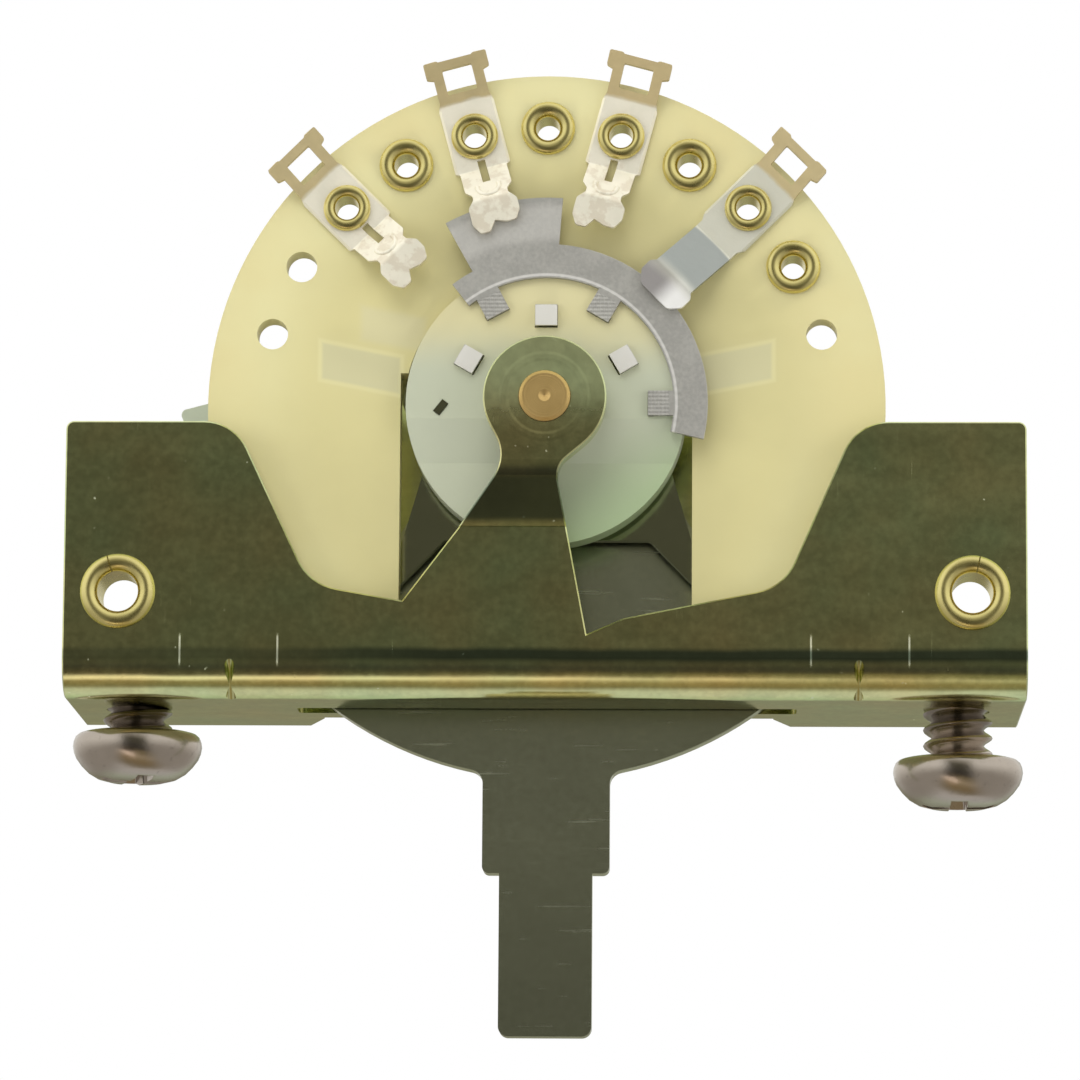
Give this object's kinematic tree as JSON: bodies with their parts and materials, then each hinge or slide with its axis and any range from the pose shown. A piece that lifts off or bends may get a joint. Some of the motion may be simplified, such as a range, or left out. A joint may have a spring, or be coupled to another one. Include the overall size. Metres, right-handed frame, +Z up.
{
  "type": "guitar pickup selector switch",
  "caption": "Open-frame lever switch for choosing a guitar's pickups, with a round contact wafer, rotor and screws.",
  "frame": {"origin": "on the underside of the frame's mounting flange, midway between the two mounting screws", "axes": "+X along the frame between the screws, +Y from the front wall to the rear wall, +Z up from the flange towards the wafer; the lever points to -Z"},
  "size_m": [0.0478, 0.0135, 0.0491],
  "materials": {
    "plated_steel": "bright yellow zinc plating",
    "lever_steel": "zinc plating, rubbed",
    "dark_plated_steel": "bright zinc plating",
    "wafer_board": "satin laminate",
    "nylon": "translucent",
    "contact_silver": "silver plate",
    "eyelet_brass": "bright",
    "axle_brass": "turned",
    "spring_bronze": "rolled",
    "rivet_steel": "zinc plating",
    "screw_steel": "satin nickel"
  },
  "bodies": {
    "frame": {"mounting_frame": "plated_steel", "stator_wafer": "wafer_board", "front_lug_left": "contact_silver", "front_lug_middle": "contact_silver", "front_lug_right": "contact_silver", "front_common_lug": "contact_silver", "rear_common_lug": "contact_silver", "rear_lug_left": "contact_silver", "rear_lug_middle": "contact_silver", "rear_lug_right": "contact_silver", "lug_eyelets": "eyelet_brass", "frame_eyelets": "eyelet_brass", "axle": "axle_brass", "left_mounting_screw": "screw_steel", "right_mounting_screw": "screw_steel"},
    "lever": {"rotor": "nylon", "front_contact_blade": "contact_silver", "rear_contact_blade": "contact_silver", "rotor_driver": "dark_plated_steel", "lever": "lever_steel", "lever_bush": "axle_brass", "index_spring": "spring_bronze", "index_rivets": "rivet_steel"}
  },
  "joints": [
    {"name": "lever_swing", "type": "hinge", "parent": "frame", "child": "lever", "pos_m": [0, 0, 0.01475], "axis": [0, 1, 0], "range_deg": [-30, 30], "deforming": ["index_spring"]}
  ]
}
